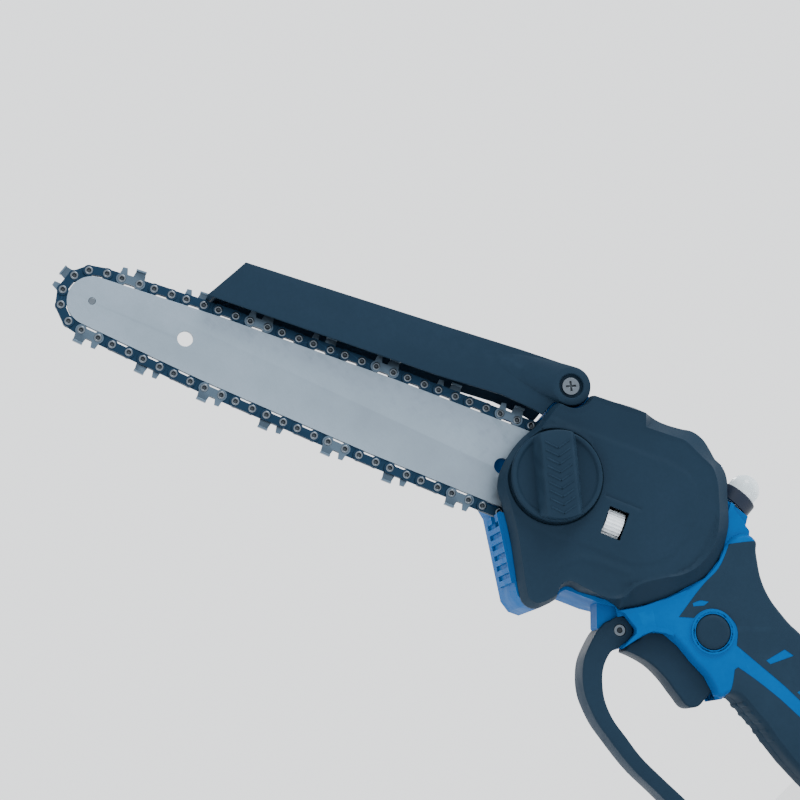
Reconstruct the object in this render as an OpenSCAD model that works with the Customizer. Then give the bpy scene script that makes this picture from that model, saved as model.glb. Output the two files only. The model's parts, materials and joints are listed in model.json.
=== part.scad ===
// Telescoping pole saw. Millimetres, +Z up the pole, origin at the middle of the butt face.
// The cutting head is drawn with x back along the bar and z across it, then leaned onto the pole.

/* [Cutting head] */
// lean of the bar axis from the pole axis, degrees from the cross direction
head_turn = 63.7; // [55:0.1:75]
// height of the clamp stud above the butt
head_z = 940; // [900:1:1000]
// nose centre, measured back from the clamp stud
nose_x = -270.6; // [-350:0.1:-200]
// drive sprocket centre, measured back from the clamp stud
sprocket_x = 45.92; // [40:0.05:55]
// bar thickness
bar_t = 4; // [3:0.1:5]
// width of the guard channel
guard_w = 28; // [24:0.5:34]
// diameter of the clamp knob
knob_d = 51; // [40:1:60]

/* [Chain] */
// rivet span of a side link
tie_span = 10.1; // [9:0.1:11]
// rivet span of a drive link
drive_span = 8.5; // [8:0.1:10]
// number of drive links
link_count = 40; // [30:1:60]
// length of the teeth above the rivet line
tooth_h = 7.4; // [6:0.1:9]

/* [Housing] */
// wall of the mouldings
wall = 2.4; // [1.6:0.1:4]
// width of the pistol grip
grip_w = 35; // [30:0.5:42]
// depth of the motor side behind the bar
motor_side = 36; // [30:1:44]
// rubber thickness
rubber_t = 1.6; // [1:0.1:3]

/* [Pole] */
// outer tube diameter
outer_d = 32; // [28:0.5:36]
// middle tube diameter
middle_d = 28; // [24:0.5:32]
// inner tube diameter
inner_d = 24; // [20:0.5:28]
// tube wall
tube_wall = 1.4; // [1:0.1:2]
// top of the outer tube
outer_top = 520; // [400:5:600]
// top of the middle tube
middle_top = 565; // [450:5:650]

/* [Battery] */
// length of the pack
pack_l = 118; // [100:1:140]
// width of the pack
pack_w = 76; // [60:1:90]
// height of the pack below its rail
pack_h = 56; // [40:1:70]

/* [Hidden] */
$fn = 48;
blue = [0.11, 0.46, 0.72];
navy = [0.13, 0.22, 0.30];
ink = [0.07, 0.11, 0.16];
steel = [0.62, 0.66, 0.70];
dark_steel = [0.25, 0.29, 0.34];
clear = [0.86, 0.90, 0.92];
// depth planes of the head, measured across the bar
drive_far = 4.8;
drive_near = -13;
cover_face = -24;
floor_far = 9.2;
half_grip = grip_w / 2;
trigger_half = 10.3;
stud = [1, 0];
sprocket = [sprocket_x, 0];
motor = [sprocket_x + 27, 0];
pivot = [-7, 52.6];
trigger_pin = [82, -57];
lock = [113.9, -47.5];
wheel = [41, -11.9];
nut_pin = [11, -12];
// bar and chain
chord_lift = 3.35;
nose_r = 17.2;
sprocket_r = 17.8;
edge = [[-200, 21.9], [-100, 25.4], [-20, 26.3], [8, 26.3]];
half_path = concat(
    [for (a = [180:-3:93]) [nose_x + nose_r * cos(a), nose_r * sin(a)]],
    edge,
    [for (a = [78:-3:0]) [sprocket_x + sprocket_r * cos(a), sprocket_r * sin(a)]]);
last = len(half_path) - 1;
function gap(a, b) = norm(a - b);
function run_to(k) = k == 0 ? 0 : run_to(k - 1) + gap(half_path[k], half_path[k - 1]);
runs = [for (k = [0:last]) run_to(k)];
half_len = runs[last];
function leg(s, k = 1) = (k == last || runs[k] >= s) ? k : leg(s, k + 1);
function on_half(s) = let(k = leg(s), t = (s - runs[k - 1]) / (runs[k] - runs[k - 1]))
    half_path[k - 1] + t * (half_path[k] - half_path[k - 1]);
function on_loop(s) = s <= half_len ? on_half(s)
    : let(p = on_half(2 * half_len - s)) [p[0], -p[1]];
function stretch(s, p, d, n) = n == 0 ? s : stretch(s + d - gap(on_loop(s), p), p, d, n - 1);
function advance(s, d) = stretch(s + d, on_loop(s), d, 4);
function span_of(k) = k % 2 == 0 ? tie_span : drive_span;
function stations(k) = k == 0 ? [0]
    : let(before = stations(k - 1)) concat(before, [advance(before[k - 1], span_of(k - 1))]);
rivets = [for (s = stations(2 * link_count - 1)) on_loop(s)];
// outlines
cover_rim = [[5.2, 51.6], [39.2, 54], [44.3, 52.8], [59.3, 53.3], [66.2, 54.4], [73.3, 52.5],
    [79.3, 48.1], [83.4, 44.6], [90.4, 40.7], [93.5, 36.8], [96.6, 28.8], [99.7, 21.8],
    [103.3, 11.9], [104.5, 1.9], [104.1, -8.1], [99.9, -20.2], [92.2, -28.9], [83.4, -38.4],
    [71.1, -48], [60.8, -54.3], [57.6, -52.8], [36.7, -53.2], [28.4, -53.2], [25.8, -56.2],
    [25.3, -62.2], [23.4, -64.7], [18.8, -69.5], [17.2, -70.8], [8.4, -70.1], [5.7, -66.5],
    [-2.3, -52.6], [-11.4, -36.6], [-17.2, -28.3], [-20.4, -23.7], [-25.7, -16.5],
    [-27.6, -8.1], [-26, 4.9], [-23, 14.3], [-17.9, 23.7], [-15, 32.1], [-12, 39.5],
    [-10.4, 41.2], [-6.5, 40.2], [-0.8, 41.6], [3.6, 46.1]];
cover_top = [[6, 50.8], [36.5, 52.5], [39.1, 45], [56, 45.9], [62.3, 46.1], [69, 43.6],
    [75.5, 40.7], [82.2, 37.7], [85, 34.5], [88, 29.9], [90.6, 23.7], [93.3, 17.6],
    [95.6, 10.5], [97.3, 1.3], [96.6, -6.7], [92.8, -16.8], [86.5, -24.4], [76.5, -30.5],
    [64, -40], [58, -49.5], [55.5, -51], [36.7, -51.4], [27.4, -51.2], [24, -55],
    [23.4, -61.6], [21.9, -63.4], [17.9, -67.3], [16.4, -68.4], [9.9, -67.8], [7.9, -65],
    [0.2, -51.3], [-8.9, -35.3], [-14.9, -26.6], [-18.1, -22.2], [-23.2, -15.5],
    [-25.1, -7.7], [-23.6, 4.3], [-20.9, 13.2], [-15.9, 22.5], [-13.1, 31.1], [-10.3, 38.3],
    [-9.3, 39.4], [-6.2, 39.2], [0, 40.6], [4.6, 45.7]];
head_rim = [[-20.5, -27], [5, -67.2], [11, -71], [17.5, -70.8], [23.6, -64.8], [27.4, -56.4],
    [29.4, -54.6], [49, -54.6], [61, -53], [84, -37], [100, -19], [104, 0], [103, 30.5],
    [95.5, 34.3], [97, 39.5], [66, 51.4], [5.2, 51.4], [3.6, 46.1], [-0.8, 41.6], [-6.5, 40.2],
    [-10.4, 41.2], [-12, 39.5], [-15, 31.4], [-20, 25], [-33, 17], [-33, -17]];
boss_rim = [[90, 30], [99, 25.3], [111.5, 18.2], [112.5, 16.5], [115.9, 14.3], [116.9, 11.1],
    [116.6, 8.5], [104, -10], [90, 0]];
boss_seat = [[90, 31.1], [94.6, 29.4], [112.9, 22.8], [113.5, 15], [104, 5], [90, 5]];
grip_rim = [[70.6, -73.4], [78.9, -63], [81.8, -59.9], [88.8, -57.3], [98.8, -60.7],
    [108.9, -66.5], [119, -71.4], [127.5, -79], [129.5, -81.3], [132.5, -79.5],
    [135.2, -75.2], [138.1, -75.1], [147, -78.5], [153, -82], [159, -85], [166.3, -90.2],
    [221, -117.4], [244.2, -70.2], [165.5, -31.2], [160.4, -28.8], [155.4, -26.9],
    [147.3, -22.5], [140.3, -18.1], [135.2, -13.7], [130.1, -7.7], [126, -0.8], [122.9, 5.2],
    [120.9, 11.1], [110, 10], [104, 0], [98, -20], [84, -37], [73.5, -45.8], [64.5, -52.5],
    [74.5, -62.5]];
root_rim = [[49, -54.6], [64, -52], [75, -58.5], [78.9, -63], [70.6, -73.4], [61, -73],
    [53.6, -67]];
upper_rubber = [[126.2, 12.3], [115.5, 7.2], [106.4, 2.3], [105.1, -12.9], [100.2, -24], [93, -46.6],
    [101.5, -44], [104.5, -39], [109, -35.8], [114, -34.8], [119.5, -36.2], [124.4, -38.5],
    [126.5, -41.1], [129.1, -49.6], [144.7, -54.9], [162.7, -61.1], [232, -94], [246, -66],
    [166, -26], [146, -16], [130, -2], [125, 8]];
lower_rubber = [[133.8, -60.4], [132.4, -62.4], [134, -71.3], [134.1, -79], [150, -86],
    [220, -122], [229, -100], [162.9, -68.6], [138.8, -61.5]];
dash_a = [[97.9, -36.5], [98.9, -38], [104.4, -35.4], [106.3, -32.4], [101.4, -33.5]];
dash_b = [[147.6, -51.3], [150.6, -52.3], [161.5, -43.1], [155.5, -41.7]];
dash_c = [[170, -61.5], [173, -62.5], [183.9, -53.3], [177.9, -51.9]];
guard_side = [[-213.3, 24.8], [-200.2, 49.8], [-19, 63.2], [-8, 63.6], [-5, 58], [-8, 44],
    [-9.5, 42.3], [-11.4, 42.2], [-13, 40], [-16, 32.4], [-16.3, 31.8], [-22, 32.9]];
tank_side = [[-6, 28.5], [-7, 36.9], [0.6, 39], [6.1, 44.7], [7.1, 47.5], [60, 47.5],
    [67, 46.5], [86, 38], [86, 24.5], [66, 24.5], [50, 25]];
hoop_bolt = [65.8, -64.4];
bosses = [[92, -32], [16.5, -65.8], [96, -12], [128, -28], [200, -84], [143, -68]];
hoop_out = [[60, -61], [58.7, -61.4], [54.8, -67.5], [52.9, -76.5], [52.5, -86.5],
    [54.1, -93.5], [59.3, -104.4], [65.4, -111.3], [71.5, -116.8], [79.5, -122.1],
    [99.7, -133.9], [114.8, -140.1], [150, -156], [187, -172]];
hoop_in = [[197.5, -165.5], [160, -151.6], [132.8, -138.9], [114.7, -131.6], [99.6, -124.9],
    [89.5, -118.5], [78.4, -111.2], [70.3, -102.3], [67.2, -96.3], [64.6, -88.3],
    [64.5, -81.3], [65.9, -76.3], [68.9, -73.6]];

// Placement helpers

module head() {
    translate([-19.5, 0, head_z]) rotate([0, head_turn, 0]) children();
}

module slab(y0, y1) {
    translate([0, y1, 0]) rotate([90, 0, 0]) linear_extrude(y1 - y0) children();
}

module rod(at, y0, y1, r) {
    translate([at[0], y1, at[1]]) rotate([90, 0, 0]) cylinder(h = y1 - y0, r = r);
}

module flat_ring(at, y0, y1, r, bore) {
    difference() {
        rod(at, y0, y1, r);
        rod(at, y0 - 1, y1 + 1, bore);
    }
}

module at_link(k) {
    a = rivets[k];
    b = rivets[(k + 1) % len(rivets)];
    mid = (a + b) / 2;
    translate([mid[0], 0, mid[1]])
        rotate([0, -atan2(b[1] - a[1], b[0] - a[0]), 0]) children();
}

// Rounded edge between two outlines with the same number of corners, in thin layers
module layered(low, high, y_low, y_high, n) {
    h = (y_low - y_high) / n;
    for (i = [0:n - 1]) slab(y_high + i * h, y_high + (i + 1) * h + 0.02)
        polygon(high + (i + 0.5) / n * (low - high));
}

// Bar

module bar_shape(inset = 0) {
    r = nose_r - chord_lift - inset;
    top = [for (p = edge) [p[0], p[1] - chord_lift - inset]];
    tail = [[20, 19.2 - inset], [24, 13], [24, -13], [20, inset - 19.2]];
    polygon(concat([for (a = [180:-6:96]) [nose_x + r * cos(a), r * sin(a)]],
        top,
        tail,
        [for (i = [len(top) - 1:-1:0]) [top[i][0], -top[i][1]]],
        [for (a = [96:6:174]) [nose_x + r * cos(a), -r * sin(a)]]));
}

module bar_holes() {
    hull() {
        translate([-9, 0]) circle(4.15);
        translate([19, 0]) circle(4.15);
    }
    translate([-215.6, -0.3]) circle(4.4);
    translate([-26, -1.3]) circle(4.5);
    for (s = [-1, 1]) translate([nut_pin[0], s * nut_pin[1]]) circle(3.2);
    translate([nose_x, 0]) circle(2.05);
}

module bar_side_plates() {
    color(steel) head() for (y0 = [-bar_t / 2, 0.7]) slab(y0, y0 + bar_t / 2 - 0.7) difference() {
        bar_shape();
        bar_holes();
    }
}

module bar_core() {
    color(steel) head() slab(-0.7, 0.7) difference() {
        bar_shape(5);
        bar_holes();
        translate([nose_x, 0]) circle(13.3);
    }
}

module nose_rivet() {
    color(dark_steel) head() rod([nose_x, 0], -2.15, 2.15, 2);
}

module nose_sprocket() {
    color(dark_steel) head() slab(-0.6, 0.6) difference() {
        circle_at = [nose_x, 0];
        translate(circle_at) polygon([for (i = [0:17])
            let(a = i * 20, r = i % 3 == 0 ? 10.2 : 8) [r * cos(a), r * sin(a)]]);
        translate(circle_at) circle(2.1);
    }
}

// Chain

module strap_shape() {
    difference() {
        union() {
            for (s = [-1, 1]) translate([s * tie_span / 2, 0]) circle(3.2, $fn = 24);
            translate([-tie_span / 2, -2]) square([tie_span, 5]);
        }
        for (s = [-1, 1]) translate([s * tie_span / 2, 0]) circle(1.58, $fn = 24);
    }
}

module cutter(side) {
    lo = side < 0 ? -1.9 : 0.68;
    slab(lo, lo + 1.22) {
        strap_shape();
        polygon([[-7, 2], [-6.2, 6.4], [-3.6, 6.6], [-2.6, 2.9]]);
        polygon([[0.6, 2.9], [1.4, tooth_h - 1], [6.8, tooth_h - 1], [7.4, 2]]);
    }
    translate([1.2, side < 0 ? -3.4 : 0.3, tooth_h - 1.05]) cube([5.8, 3.1, 1.1]);
}

module chain_drive_links() {
    color(dark_steel) head() for (k = [1:2:2 * link_count - 1]) at_link(k)
        slab(-0.62, 0.62) difference() {
            union() {
                for (s = [-1, 1]) translate([s * drive_span / 2, 0]) circle(3, $fn = 24);
                polygon([[-4.2, 3], [4.2, 3], [5.2, -2.2], [2.6, -5.8], [-1.6, -5.8],
                    [-4.8, -2.4]]);
            }
            for (s = [-1, 1]) translate([s * drive_span / 2, 0]) circle(1.58, $fn = 24);
        }
}

module chain_tie_straps() {
    color(dark_steel) head() for (k = [0:2:2 * link_count - 2]) at_link(k) {
        if (k % 8 != 4) slab(-1.85, -0.68) strap_shape();
        if (k % 8 != 0) slab(0.68, 1.85) strap_shape();
    }
}

module chain_cutters_left() {
    color(steel) head() for (k = [4:8:2 * link_count - 1]) at_link(k) cutter(-1);
}

module chain_cutters_right() {
    color(steel) head() for (k = [0:8:2 * link_count - 1]) at_link(k) cutter(1);
}

module chain_rivets() {
    color(steel) head() for (p = rivets) {
        rod(p, -2.5, 2.5, 1.5, $fn = 24);
        rod(p, -2.5, -1.95, 2.3, $fn = 24);
        rod(p, 1.95, 2.5, 2.3, $fn = 24);
    }
}

// Drive

module bar_stud() {
    color(steel) head() {
        rod(stud, -33, floor_far, 4);
        rod(stud, 7, floor_far, 7);
    }
}

module gear_plate() {
    color(steel) head() difference() {
        union() {
            slab(4.9, 6.9) polygon([[-14, -14], [10, -19], [70, -19], [88, -8], [88, 8],
                [70, 19], [10, 19], [-14, 14]]);
            rod(stud, 2.15, 5, 9);
        }
        rod(stud, 0, 10, 4.02);
        rod(sprocket, 0, 10, 8.03);
        rod(motor, 0, 10, 8);
        rod([-3.5, 12], 0, 10, 1.9);
    }
}

module sprocket_shaft() {
    color(steel) head() {
        rod(sprocket, -6.5, 16, 4);
        rod(sprocket, 15.9, 21.4, 3);
    }
}

module drive_sprocket() {
    color(dark_steel) head() difference() {
        union() {
            rod(sprocket, -3.2, 3.2, 11.2);
            rod(sprocket, -3.2, -0.8, 14.2);
            rod(sprocket, 0.8, 3.2, 14.2);
        }
        rod(sprocket, -4, 4, 4.02);
        for (a = [0:60:300]) rod(sprocket + 8.6 * [cos(a), sin(a)], -4, 4, 1.8);
    }
}

module sprocket_clip() {
    color(dark_steel) head() flat_ring(sprocket, -4.6, -3.4, 6.6, 4.03);
}

module teeth(n, r, tip, root, width) {
    polygon([for (i = [0:n - 1], j = [0:3])
        let(w = width / r * 90 / PI,
            a = i * 360 / n + [-1.25, -0.7, 0.7, 1.25][j] * w,
            q = [root, tip, tip, root][j])
        [q * cos(a), q * sin(a)]]);
}

module driven_gear() {
    color(steel) head() difference() {
        translate([sprocket[0], 0, 0]) slab(10.5, 15.5) teeth(28, 21, 21.9, 19.5, 1.9);
        rod(sprocket, 10, 16, 4.02);
        for (a = [0:60:300]) rod(sprocket + 12 * [cos(a), sin(a)], 10, 16, 3);
    }
}

module shaft_bearings() {
    color(steel) head() {
        flat_ring(sprocket, 4.9, 9.1, 8, 4.05);
        flat_ring(sprocket, 16.5, 21.3, 6.5, 3.05);
    }
}

module motor_can() {
    color(dark_steel) head() {
        difference() {
            rod(motor, 17, 46, 18);
            rod(motor, 19, 44, 15.6);
            rod(motor, 16, 47, 2.7);
        }
    }
}

module motor_rotor() {
    color(steel) head() {
        rod(motor, 10, 45.8, 2.5);
        rod(motor, 21, 42, 13);
        translate([motor[0], 0, 0]) rotate([0, 22.5, 0])
            slab(10.5, 15.5) teeth(8, 6, 6.9, 4.4, 1.9);
    }
}

module controller_board() {
    color([0.1, 0.35, 0.2]) head() translate([140, -12, -58]) rotate([0, 26.3, 0]) {
        cube([58, 2, 22]);
        for (i = [0:3]) translate([6 + 13 * i, 1.9, 4]) cube([8, 5, 12]);
    }
}

// Tension adjuster

module tension_wheel() {
    color(clear) head() translate([35.8, -14.5, wheel[1]]) rotate([0, 90, 0]) difference() {
        union() {
            cylinder(h = 10, r = 7.6);
            for (a = [0:15:345]) rotate(a) translate([7.5, 0, 0]) cylinder(h = 10, r = 0.65, $fn = 16);
        }
        translate([0, 0, -1]) cylinder(h = 12, r = 2.51);
    }
}

module tension_screw() {
    color(steel) head() translate([3, -14.5, wheel[1]]) rotate([0, 90, 0]) {
        cylinder(h = 49, r = 2.5);
        translate([0, 0, 46]) cylinder(h = 3, r = 4.5);
    }
}

module tension_nut() {
    color(steel) head() difference() {
        union() {
            translate([6, -19, -16.5]) cube([10, 9, 9.2]);
            rod(nut_pin, -10.1, 1.4, 2.9);
        }
        translate([5, -14.5, wheel[1]]) rotate([0, 90, 0]) cylinder(h = 12, r = 2.57);
    }
}

// Cover and knob

module side_cover() {
    color(navy) head() difference() {
        union() {
            difference() {
                layered(cover_rim, cover_top, -16, cover_face, 6);
                slab(-21.8, -15) offset(delta = -5) polygon(cover_top);
            }
            slab(-16, drive_near) difference() {
                polygon(cover_rim);
                offset(delta = -wall) polygon(cover_rim);
            }
            rod(stud, -22, -2.15, 8);
            for (x = [30, 51]) translate([x, -22.5, wheel[1] - 6]) cube([3, 12, 12]);
        }
        rod(stud, -30, 0, 4.2);
        rod(stud, -25, -22.6, knob_d / 2 - 3.5);
        translate([35, -26, -20]) cube([11.6, 9, 16.2]);
        translate([29, -14.5, wheel[1]]) rotate([0, 90, 0]) cylinder(h = 17, r = 2.6);
        translate([45, -14.5, wheel[1]]) rotate([0, 90, 0]) cylinder(h = 17, r = 4.8);
        translate([-30, -16.5, -33]) cube([22, 4, 66]);
    }
}

module clamp_knob() {
    color(navy) head() difference() {
        union() {
            rod(stud, -29.5, cover_face - 0.4, knob_d / 2);
            rod(stud, -25, -22.8, knob_d / 2 - 4);
            intersection() {
                rod(stud, -37, -29, knob_d / 2 - 0.6);
                translate([stud[0], 0, 0]) rotate([0, -25.5, 0]) linear_extrude(60, center = true)
                    polygon([[-12.5, -28], [12.5, -28], [8.5, -38], [-8.5, -38]]);
            }
        }
        rod(stud, -34.5, -20, 7.3);
    }
}

module knob_insert() {
    color([0.75, 0.62, 0.32]) head() difference() {
        rod(stud, -34.4, -23, 7.28);
        rod(stud, -34, -20, 4.05);
    }
}

// Oiling

module oil_tank() {
    color([0.88, 0.86, 0.78]) head() difference() {
        slab(11, 31.5) polygon(tank_side);
        slab(13, 29.5) offset(delta = -2) polygon(tank_side);
        cap_axis() cylinder(h = 30, r = 8.7, center = true);
    }
}

module cap_axis() {
    translate([80.6, 21, 44.9]) rotate([0, 20.6, 0]) children();
}

module oil_line() {
    color(ink) head() {
        translate([-3.5, 12.5, 12]) cylinder(h = 16.1, r = 1.6);
        rod([-3.5, 12], 5, 12.5, 1.6);
    }
}

module oil_cap() {
    color(navy) head() cap_axis() {
        translate([0, 0, 2.3]) cylinder(h = 4.7, r = 13.5);
        for (a = [0:15:345]) rotate(a) translate([13.4, 0, 2.8]) cylinder(h = 3.7, r = 1, $fn = 16);
        translate([-12, -4, 6.5]) cube([24, 8, 3.3]);
        translate([0, 0, -5]) cylinder(h = 7.5, r = 8.6);
    }
}

module bulb_axis() {
    translate([104, 0, 26]) rotate([0, 20, 0]) children();
}

module oil_bulb() {
    color(clear) head() bulb_axis() difference() {
        union() {
            translate([0, 0, 12]) sphere(r = 8.9);
            cylinder(h = 12, r = 8.9);
        }
        translate([0, 0, 12]) sphere(r = 7.7);
        translate([0, 0, -1]) cylinder(h = 13, r = 7.7);
    }
}

module bulb_collar() {
    color(ink) head() bulb_axis() difference() {
        cylinder(h = 8, r = 10.8);
        translate([0, 0, -1]) cylinder(h = 10, r = 9);
    }
}

// Guard

module chain_guard() {
    half = guard_w / 2;
    color(navy) head() difference() {
        union() {
            for (y0 = [-half, half - 2]) slab(y0, y0 + 2) polygon(guard_side);
            slab(-half, half) {
                polygon([[-201.4, 47.5], [-200.2, 49.8], [-19, 63.2], [-19, 61]]);
                polygon([[-213.3, 24.8], [-200.2, 49.8], [-198, 47.7], [-210.4, 24.8]]);
            }
            rod(pivot, -17, -11, 11.5);
            rod(pivot, 11, half, 11.5);
        }
        rod(pivot, -18, 18, 4.1);
        rod(pivot, -18, -13.4, 6.75);
        translate([-216, -12, 20]) cube([12, 24, 11]);
    }
}

module guard_screw() {
    color(steel) head() difference() {
        union() {
            rod(pivot, -13.6, 13.5, 3.95);
            rod(pivot, -15.7, -13.45, 4.9);
        }
        for (a = [0, 90]) translate([pivot[0], -16.2, pivot[1]]) rotate([0, a + 63, 0])
            cube([5.6, 3, 1.1], center = true);
    }
}

// Trigger and lock

module trigger() {
    color(navy) head() difference() {
        union() {
            slab(-9.9, 9.9) polygon([[72.5, -72.9], [78, -64.5], [78.5, -57], [82, -53.6],
                [88, -53.2], [100, -55.4], [112, -61], [122, -67.5], [127.4, -75],
                [124.6, -81.6], [121.2, -88.4], [117.2, -89.9], [109.2, -86], [99.1, -79.7],
                [89, -75.3], [79, -73.5]]);
            rod(trigger_pin, -12.5, 12.5, 2.5);
        }
        rod(trigger_pin, -5, 5, 5.6);
        translate([74, -5, -57]) cube([8, 10, 8]);
    }
}

module trigger_spring() {
    color(steel) head() for (i = [0:4]) translate([trigger_pin[0], -3.6 + 1.8 * i, trigger_pin[1]])
        rotate([90, 0, 0]) rotate_extrude() translate([4.2, 0]) circle(0.6, $fn = 16);
}

module trigger_switch() {
    color(ink) head() {
        translate([96, -4.8, -46]) cube([22, 12.8, 10.5]);
        translate([103, -1, -49.8]) cube([7, 4, 3.9]);
    }
}

module lock_button() {
    color(ink) head() difference() {
        rod(lock, -half_grip - 2.8, -9.4, 9.9);
        rod(lock, -half_grip, -8, 7.6);
    }
}

module lock_spring() {
    color(steel) head() for (i = [0:5]) translate([lock[0], -5.6 - 1.3 * i, lock[1]])
        rotate([90, 0, 0]) rotate_extrude() translate([5.5, 0]) circle(0.5, $fn = 16);
}

// Housing

module shell_outline() {
    polygon(head_rim);
    polygon(boss_rim);
}

module housing_holes() {
    cap_axis() cylinder(h = 60, r = 9, center = true);
    rod(pivot, -20, 20, 4);
    rod(sprocket, 0, floor_far + 0.1, 8.03);
    rod(motor, 0, floor_far + 0.1, 8);
    rod([-3.5, 12], 0, 12, 1.9);
    rod(stud, 4, floor_far, 7.05);
    rod(trigger_pin, -13, 13, 2.56);
    rod(lock, -22, -4.8, 10.05);
    bulb_axis() translate([0, 0, -6]) cylinder(h = 30, r = 9.2);
    bulb_axis() cylinder(h = 30, r = 11.2);
    rod(hoop_bolt, -14, 14, 2);
}

module trigger_room() {
    slab(-trigger_half, trigger_half) polygon([[70, -73.2], [76.5, -65.5], [76.5, -52],
        [84, -47.5], [100, -47.5], [119, -55], [130, -65], [131.3, -76], [129, -95], [70, -95]]);
}

module grip_layers(side, inset) {
    for (step = [[inset, 11, 0], [10.9, 15.4, 1.4], [15.3, half_grip, 4]])
        slab(side > 0 ? step[0] - inset : inset - step[1], side > 0 ? step[1] - inset : inset - step[0])
            offset(delta = -step[2] - inset) polygon(grip_rim);
}

module grip_core(side) {
    slab(side > 0 ? -0.1 : 4.6 - half_grip, side > 0 ? half_grip - 4.6 : 0.1)
        offset(delta = -6.5) polygon(grip_rim);
}

module rubber_zone() {
    slab(-30, 30) difference() {
        union() {
            polygon(upper_rubber);
            polygon(lower_rubber);
        }
        polygon(dash_a);
        polygon(dash_b);
        polygon(dash_c);
    }
}

module overmold(side) {
    color(navy) head() difference() {
        intersection() {
            grip_layers(side, 0);
            rubber_zone();
        }
        grip_layers(side, rubber_t);
        slab(drive_near, side > 0 ? motor_side : drive_far) shell_outline();
        slab(-30, drive_near) offset(delta = 0.3) polygon(cover_rim);
        for (b = bosses) rod(b, 10.5, 40, 3.5);
        slab(-trigger_half, trigger_half) polygon([[70, -50], [133, -62], [133, -100],
            [70, -100]]);
        rod(lock, -22, 0, 12.6);
    }
}

module overmold_left() {
    overmold(-1);
}

module overmold_right() {
    overmold(1);
}

module blue_grip(side) {
    difference() {
        union() {
            grip_layers(side, rubber_t);
            difference() {
                grip_layers(side, 0);
                rubber_zone();
            }
            slab(side > 0 ? 0 : -8, side > 0 ? 8 : 0) polygon(root_rim);
        }
        grip_core(side);
    }
}

module bumper_ribs(y0, y1) {
    translate([-20.5, 0, -27]) rotate([0, 57.6, 0]) for (i = [0:6])
        translate([2.5 + 5.8 * i, y0, -1.7]) cube([3, y1 - y0, 2.7]);
}

module housing_left() {
    color(blue) head() difference() {
        union() {
            difference() {
                slab(drive_near, drive_far) shell_outline();
                slab(drive_near - 1, drive_far + 1) offset(delta = -wall) polygon(head_rim);
                slab(drive_near - 1, drive_far + 1) polygon([[-40, -27.5], [-10, -27.5], [-10, 32],
                    [-40, 32]]);
            }
            slab(-10.8, drive_far) polygon(boss_seat);
            bumper_ribs(drive_near + 0.4, drive_far - 0.4);
            rod(pivot, -10.6, drive_far, 8.5);
            slab(-10.6, drive_far) polygon([[-12, 38], [-10, 52], [-2, 54], [8, 51], [8, 46],
                [0, 40], [-6, 38]]);
            blue_grip(-1);
            flat_ring(lock, -half_grip - 1.6, -13, 12.3, 10.1);
            for (b = bosses) rod(b, drive_near, b[0] < 100 ? drive_far : 0, 4.4);
        }
        trigger_room();
        housing_holes();
        for (b = bosses) rod(b, -9.9, 6, 1.75);
        rod(pivot, -14, -10.65, 12.2);
        slab(-4.4, drive_far + 1) polygon([[-45, -20], [-45, -34.4], [20, -34.6], [20, -20]]);
        slab(-30, drive_near) offset(delta = 0.3) polygon(cover_rim);
        hoop_cut();
    }
}

module housing_right() {
    color(blue) head() difference() {
        union() {
            difference() {
                union() {
                    slab(drive_far, motor_side) shell_outline();
                    slab(drive_far, 10.8) polygon(boss_seat);
                }
                slab(floor_far, motor_side - wall) offset(delta = -wall) shell_outline();
                slab(drive_far - 1, 7) polygon([[-14.1, -14.1], [10, -19.1], [70, -19.1],
                    [88.1, -8], [88.1, 8], [70, 19.1], [10, 19.1], [-14.1, 14.1]]);
            }
            rod(motor, motor_side - 3, 49, 21.2);
            difference() {
                rod(sprocket, 16.5, motor_side, 8.4);
                rod(sprocket, 16, 21.4, 6.53);
            }
            rod(pivot, drive_far, 10.6, 8.5);
            slab(drive_far, 10.6) polygon([[-12, 38], [-10, 52], [-2, 54], [8, 51], [8, 46],
                [0, 40], [-6, 38]]);
            bumper_ribs(drive_far, motor_side - 2);
            difference() {
                blue_grip(1);
                slab(-1, drive_far) union() {
                    shell_outline();
                    polygon(boss_seat);
                    translate(bosses[0]) circle(4.4);
                }
            }
            for (b = bosses) rod(b, b[0] < 100 ? drive_far : 0, b[0] < 100 ? motor_side : 13, 4.4);
        }
        rod(motor, 16.5, 46.6, 18.4);
        trigger_room();
        housing_holes();
        for (b = bosses) rod(b, -1, 11, 1.75);
        for (b = bosses) rod(b, 10.38, 60, 3.4);
        rod(pivot, 10.65, 40, 12.4);
        slab(10.65, 40) polygon([[-40, 31.5], [-16, 31.5], [-7, 40], [-7, 70], [-40, 70]]);
        for (i = [-3:3]) translate([motor[0] - 14, 46, i * 5 - 1.2]) cube([28, 5, 2.4]);
        hoop_cut();
    }
}

module hoop_cut() {
    for (y0 = [-12, 8]) slab(y0, y0 + 4) polygon([[63, -53], [75.5, -61], [71, -74.5], [50, -76],
        [50, -64], [57, -62]]);
}

module housing_screws() {
    color(dark_steel) head() for (b = bosses) {
        rod(b, -9.5, 10.5, 1.7);
        rod(b, 10.4, 12.8, 3.2);
    }
}

module hand_guard() {
    color(navy) head() difference() {
        union() {
            difference() {
                slab(-11, 11) polygon(concat(hoop_out, hoop_in));
                slab(-8.1, 8.1) offset(delta = 0.15) polygon(root_rim);
            }
            for (y0 = [-11, 8.1]) slab(y0, y0 + 2.9) polygon([[58.9, -61.6], [64.1, -56.4],
                [73.7, -62.3], [68.9, -73.4], [56, -72]]);
        }
        rod(hoop_bolt, -14, 14, 2.1);
        rod(hoop_bolt, -14, -9.4, 3.4);
    }
}

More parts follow.
